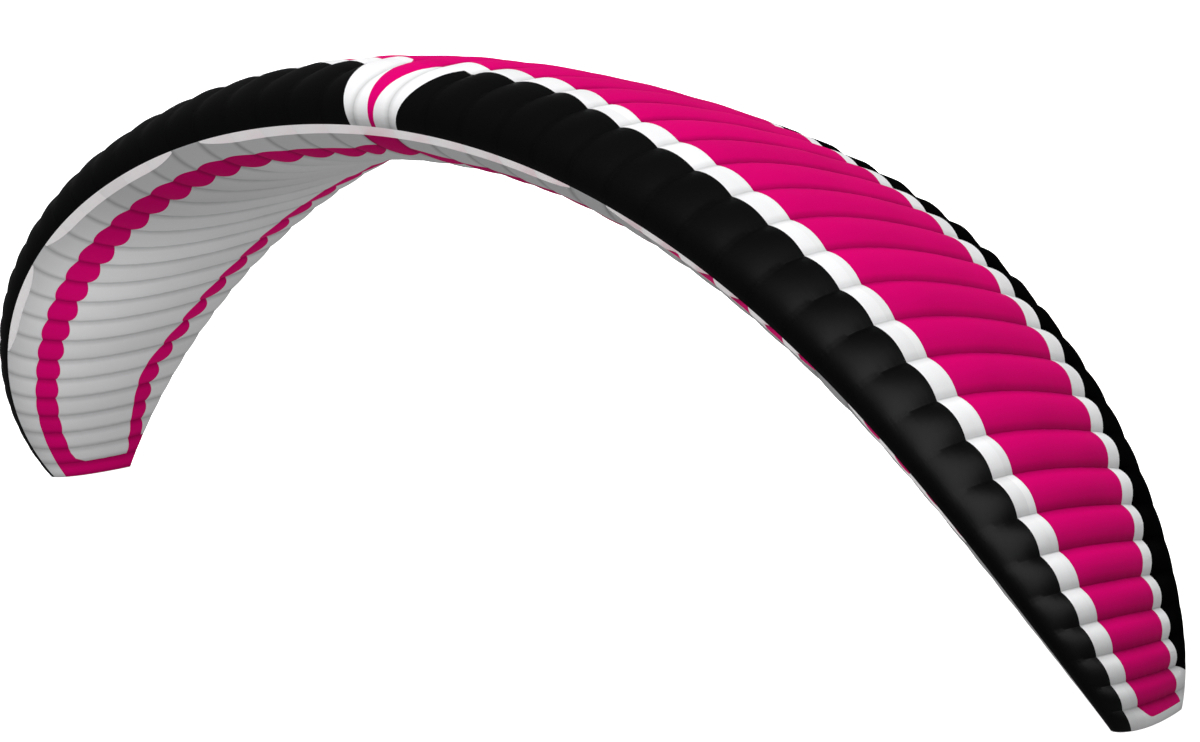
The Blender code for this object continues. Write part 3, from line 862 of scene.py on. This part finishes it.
def make_top_skins():
    """The nose bands, the white border, the magenta band with the wedge, and the black edge.
    The columns of quads are counted outwards from the middle. The last of them lie past the
    magenta's end in the tip cell."""
    grid = top_grid()
    k_lines = grid[0]
    row = row_numbers(TOP_STEPS)
    rows = row[None, :]
    middle_line = (len(k_lines) - 1) // 2
    out = np.arange(len(k_lines) - 1) - middle_line
    out = np.where(out < 0, -out - 1, out)[:, None]
    wedge_end, first_rib_end, nose_start = np.cumsum(MIDDLE_STEPS)[:3]
    middle_k = (k_lines[1:, -1] + k_lines[:-1, -1])[:, None] / 2
    tip_end = out > out.max() - CELL_STEPS // 2
    in_wedge = (out < wedge_end) | ((out < first_rib_end) & (rows == WEDGE_ROW))
    nose = (rows == NOSE_ROW) & (out >= nose_start)
    band = (in_wedge & (rows <= WEDGE_ROW)) | ((rows == MAGENTA_ROW) & ~tip_end)
    rear = (rows == REAR_EDGE_ROW) & (np.abs(middle_k) < BLACK_EDGE_END)
    border = ~(nose | band | rear)
    for side, half in (("left", middle_k < 0), ("right", middle_k > 0)):
        piece = cloth_sheet(f"nose_cloth_{side}", grid, row, nose & half, black_cloth, inner_cloth_painted_glow)
        nodes = lengths(f"nose_band_{side}", ("tip", "mid", "inner"))
        finish_skin(piece, nodes)
    piece = cloth_sheet("border_cloth", grid, row, border, white_cloth, inner_cloth_painted_glow)
    nodes = ["upper_white_border"]
    finish_skin(piece, nodes)
    piece = cloth_sheet("band_cloth", grid, row, band, magenta_cloth, inner_cloth_painted_glow)
    nodes = lengths("upper_magenta", BROAD)
    finish_skin(piece, nodes)
    piece = cloth_sheet("rear_edge_cloth", grid, row, rear, edge_cloth, edge_cloth)
    finish_skin(piece, ["upper_rear_edge"])


def make_under_skins():
    """The cloth behind the slots, the two stripes, the cloth between them, and the hem. The
    stripes also take the tip cell between them, the hem of the last two cells and the front
    of the centre cell."""
    grid = under_grid()
    k_lines = grid[0]
    row = row_numbers(UNDER_STEPS)
    rows = row[None, :]
    middle_k = (k_lines[1:, 0] + k_lines[:-1, 0])[:, None] / 2
    cell = np.round(np.abs(middle_k))
    tip_cell = cell == CELLS // 2
    hem_cell = cell < CELLS // 2 - 1
    centre_cell = cell == 0
    front = (rows == FRONT_ROW) & ~centre_cell
    front = front | ((rows == SLOT_ROW) & np.isin(cell, SHUT_CELLS))
    stripes = (rows == STRIPE_1_ROW) | (rows == STRIPE_2_ROW) | ((rows == MIDDLE_ROW) & tip_cell)
    stripes = stripes | ((rows == FRONT_ROW) & centre_cell) | ((rows == HEM_ROW) & ~hem_cell)
    middle = (rows == MIDDLE_ROW) & ~tip_cell
    rear = (rows == HEM_ROW) & hem_cell
    for side, half in (("left", middle_k < 0), ("right", middle_k > 0)):
        piece = cloth_sheet(
            f"front_cloth_{side}", grid, row, front & half, under_cloth, inner_cloth_painted_glow)
        nodes = lengths(f"lower_front_{side}", ("tip", "mid"))
        finish_skin(piece, nodes)
    piece = cloth_sheet("stripe_cloth", grid, row, stripes, stripe_cloth, stripe_cloth)
    nodes = ["lower_magenta_stripes"]
    finish_skin(piece, nodes)
    piece = cloth_sheet("middle_cloth", grid, row, middle, under_cloth, inner_cloth_painted_glow)
    nodes = lengths("lower_broad", BROAD)
    finish_skin(piece, nodes)
    piece = cloth_sheet("rear_cloth", grid, row, rear, under_cloth, under_cloth)
    finish_skin(piece, ["lower_rear"])


# Ribs and tip panels

def rib_plane_normal(k):
    """Unit vector along the arch at a rib: the cosine and minus the sine of its slope."""
    along = place_along_span(k)
    slope = np.sign(along) * arch_slope(np.abs(along) / HALF_SPAN)
    return np.array([np.cos(slope), 0.0, -np.sin(slope)])


def section_plate(name, k, inset, low, high, tail, outside, inside):
    """A flat closed plate in the section's outline: even steps of the girth number from nose
    to tail, and a few lines from the lower side to the upper one, blended evenly. Its faces
    lie low and high along the arch from the rib's plane. It has no seams or hems."""
    u = np.linspace(RIB_NOSE, math.sqrt(tail), PLATE_STEPS + 1)[:, None]
    across = np.linspace(0, 1, PLATE_LINES + 1)[None, :]
    lower = canopy(k, -u, -inset) + SHIFT
    upper = canopy(k, u, -inset) + SHIFT
    blend = across[..., None]
    flat = (lower * (1 - blend) + upper * blend).reshape(-1, 3)
    normal = rib_plane_normal(k)
    used, faces, _ = two_sided(np.ones((PLATE_STEPS, PLATE_LINES), bool))
    points = np.concatenate([flat + normal * low, flat + normal * high])
    piece = new_piece(name, points, faces, (outside, inside))
    mesh = piece.data
    grid_u = np.broadcast_to(u * (2 * across - 1), used.shape).ravel()
    set_cloth_maps(mesh, np.full(len(flat), float(k)), grid_u, np.full(len(flat), NO_SEAM))
    mesh.attributes["seam"].data.foreach_set("value", np.full(2 * len(flat), NO_SEAM))
    panel_numbers(mesh, np.full(len(faces), float(k)), np.zeros(len(faces)))
    shape = bmesh.new()
    shape.from_mesh(mesh)
    bmesh.ops.recalc_face_normals(shape, faces=shape.faces)
    shape.to_mesh(mesh)
    shape.free()
    return piece


def finish_plate(piece):
    """Gives it its body."""
    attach(piece, "root")


def make_ribs():
    """A rib at each half number. Those near the tips have no node of their own."""
    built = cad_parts
    for number in range(1, CELLS // 2 + 1):
        for side, sign in (("left", -1), ("right", 1)):
            k = sign * (number - 0.5)
            piece = section_plate(
                f"rib_cloth_{side}_{number:02d}", k, RIB_INSET, -RIB_THICK / 2, RIB_THICK / 2,
                RIB_TAIL, inner_cloth_painted_glow, inner_cloth_painted_glow)
            node_name = f"rib_{side}_{number:02d}"
            if node_name in built:
                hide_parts(node_name)
            finish_plate(piece)


def make_tip_panels():
    """White plates just outside the last cells, as thick as in the solids."""
    for side, sign in (("left", -1), ("right", 1)):
        k = sign * HALF_CELLS
        low, high = sorted((sign * TIP_GAP, sign * (TIP_GAP + CAD_CLOTH)))
        piece = section_plate(
            f"tip_cloth_{side}", k, -(SKIN_GAP + SKIN_THICK), low, high, TIP_TAIL, white_cloth,
            white_cloth)
        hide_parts(f"tip_panel_{side}")
        finish_plate(piece)


# Floor, light and camera

def make_floor():
    """A pale square that glows, but neither lights the cloth nor shines in it."""
    corners = np.array([(-1, -1, 0), (1, -1, 0), (1, 1, 0), (-1, 1, 0)]) * FLOOR_HALF
    corners = corners - np.array((0, 0, FLOOR_DROP))
    material = bpy.data.materials.new("pale_floor")
    material.use_nodes = True
    shader = material.node_tree.nodes["Principled BSDF"]
    shader.inputs["Base Color"].default_value = (*FLOOR_GREY, 1.0)
    shader.inputs["Roughness"].default_value = FLOOR_ROUGHNESS
    shader.inputs["Emission Color"].default_value = (*PURE_WHITE, 1.0)
    shader.inputs["Emission Strength"].default_value = FLOOR_GLOW
    floor = new_piece("floor", corners, np.array([(0, 1, 2, 3)]), (material,))
    floor.visible_diffuse = False
    floor.visible_glossy = False


def make_lights():
    """The surroundings, brighter below than above and from the right than from the left, the
    two suns and the panel."""
    world = bpy.data.worlds.new("studio")
    world.use_nodes = True
    tree = world.node_tree
    background = tree.nodes["Background"]
    background.inputs[0].default_value = (*PURE_WHITE, 1.0)
    direction = node(tree, "ShaderNodeTexCoord", (-800, 0))
    parts = node(tree, "ShaderNodeSeparateXYZ", (-600, 0))
    tree.links.new(direction.outputs["Generated"], parts.inputs[0])
    height = smooth_step(tree, (-400, 0), parts.outputs[2], LIGHT_BELOW, LIGHT_ABOVE)
    side = smooth_step(tree, (-400, -260), parts.outputs[0], LIGHT_LEFT, LIGHT_RIGHT)
    tree.links.new(math_node(tree, "MULTIPLY", (-200, 0), height, side), background.inputs[1])
    bpy.context.scene.world = world
    add_sun("key", KEY_LIGHT, KEY_WIDTH, KEY_FROM).visible_glossy = False
    add_sun("satin", SATIN_LIGHT, SATIN_WIDTH, SATIN_FROM).visible_diffuse = False
    panel = bpy.data.lights.new("panel", "AREA")
    panel.energy = PANEL_LIGHT
    panel.size = PANEL_SIDE
    add_lamp(panel, PANEL_PLACE, Vector(PANEL_AIM) - Vector(PANEL_PLACE)).visible_camera = False


def smooth_step(tree, place, value, low, high):
    """From low to high by a smooth step, as the value goes through its turn about 0."""
    step = node(tree, "ShaderNodeMapRange", place, interpolation_type="SMOOTHSTEP")
    step.inputs["From Min"].default_value = -LIGHT_TURN
    step.inputs["From Max"].default_value = LIGHT_TURN
    step.inputs["To Min"].default_value = low
    step.inputs["To Max"].default_value = high
    tree.links.new(value, step.inputs["Value"])
    return step.outputs[0]


def add_sun(name, strength, width, comes_from):
    """A sun of this strength, as wide in degrees, that shines from a direction."""
    sun = bpy.data.lights.new(name, "SUN")
    sun.energy = strength
    sun.angle = math.radians(width)
    return add_lamp(sun, (0, 0, 0), -Vector(comes_from))


def add_lamp(light, place, way):
    """A lamp object for this light at place, shining along way."""
    lamp = bpy.data.objects.new(light.name, light)
    lamp.location = place
    lamp.rotation_mode = "QUATERNION"
    lamp.rotation_quaternion = way.to_track_quat("-Z", "Y")
    bpy.context.scene.collection.objects.link(lamp)
    return lamp


def make_camera():
    """A long lens, moved with the canopy's shift."""
    data = bpy.data.cameras.new("camera")
    data.lens = CAMERA_LENS
    data.sensor_width = CAMERA_SENSOR
    data.clip_start, data.clip_end = CAMERA_CLIP
    camera = bpy.data.objects.new("camera", data)
    camera.location = Vector(CAMERA_PLACE) + Vector(SHIFT)
    camera.rotation_mode = "QUATERNION"
    camera.rotation_quaternion = Vector(CAMERA_AIM).to_track_quat("-Z", "Y")
    bpy.context.scene.collection.objects.link(camera)
    bpy.context.scene.camera = camera


make_top_skins()
make_under_skins()
make_ribs()
make_tip_panels()
make_floor()
make_lights()
make_camera()
bpy.context.scene.view_settings.view_transform = "Standard"
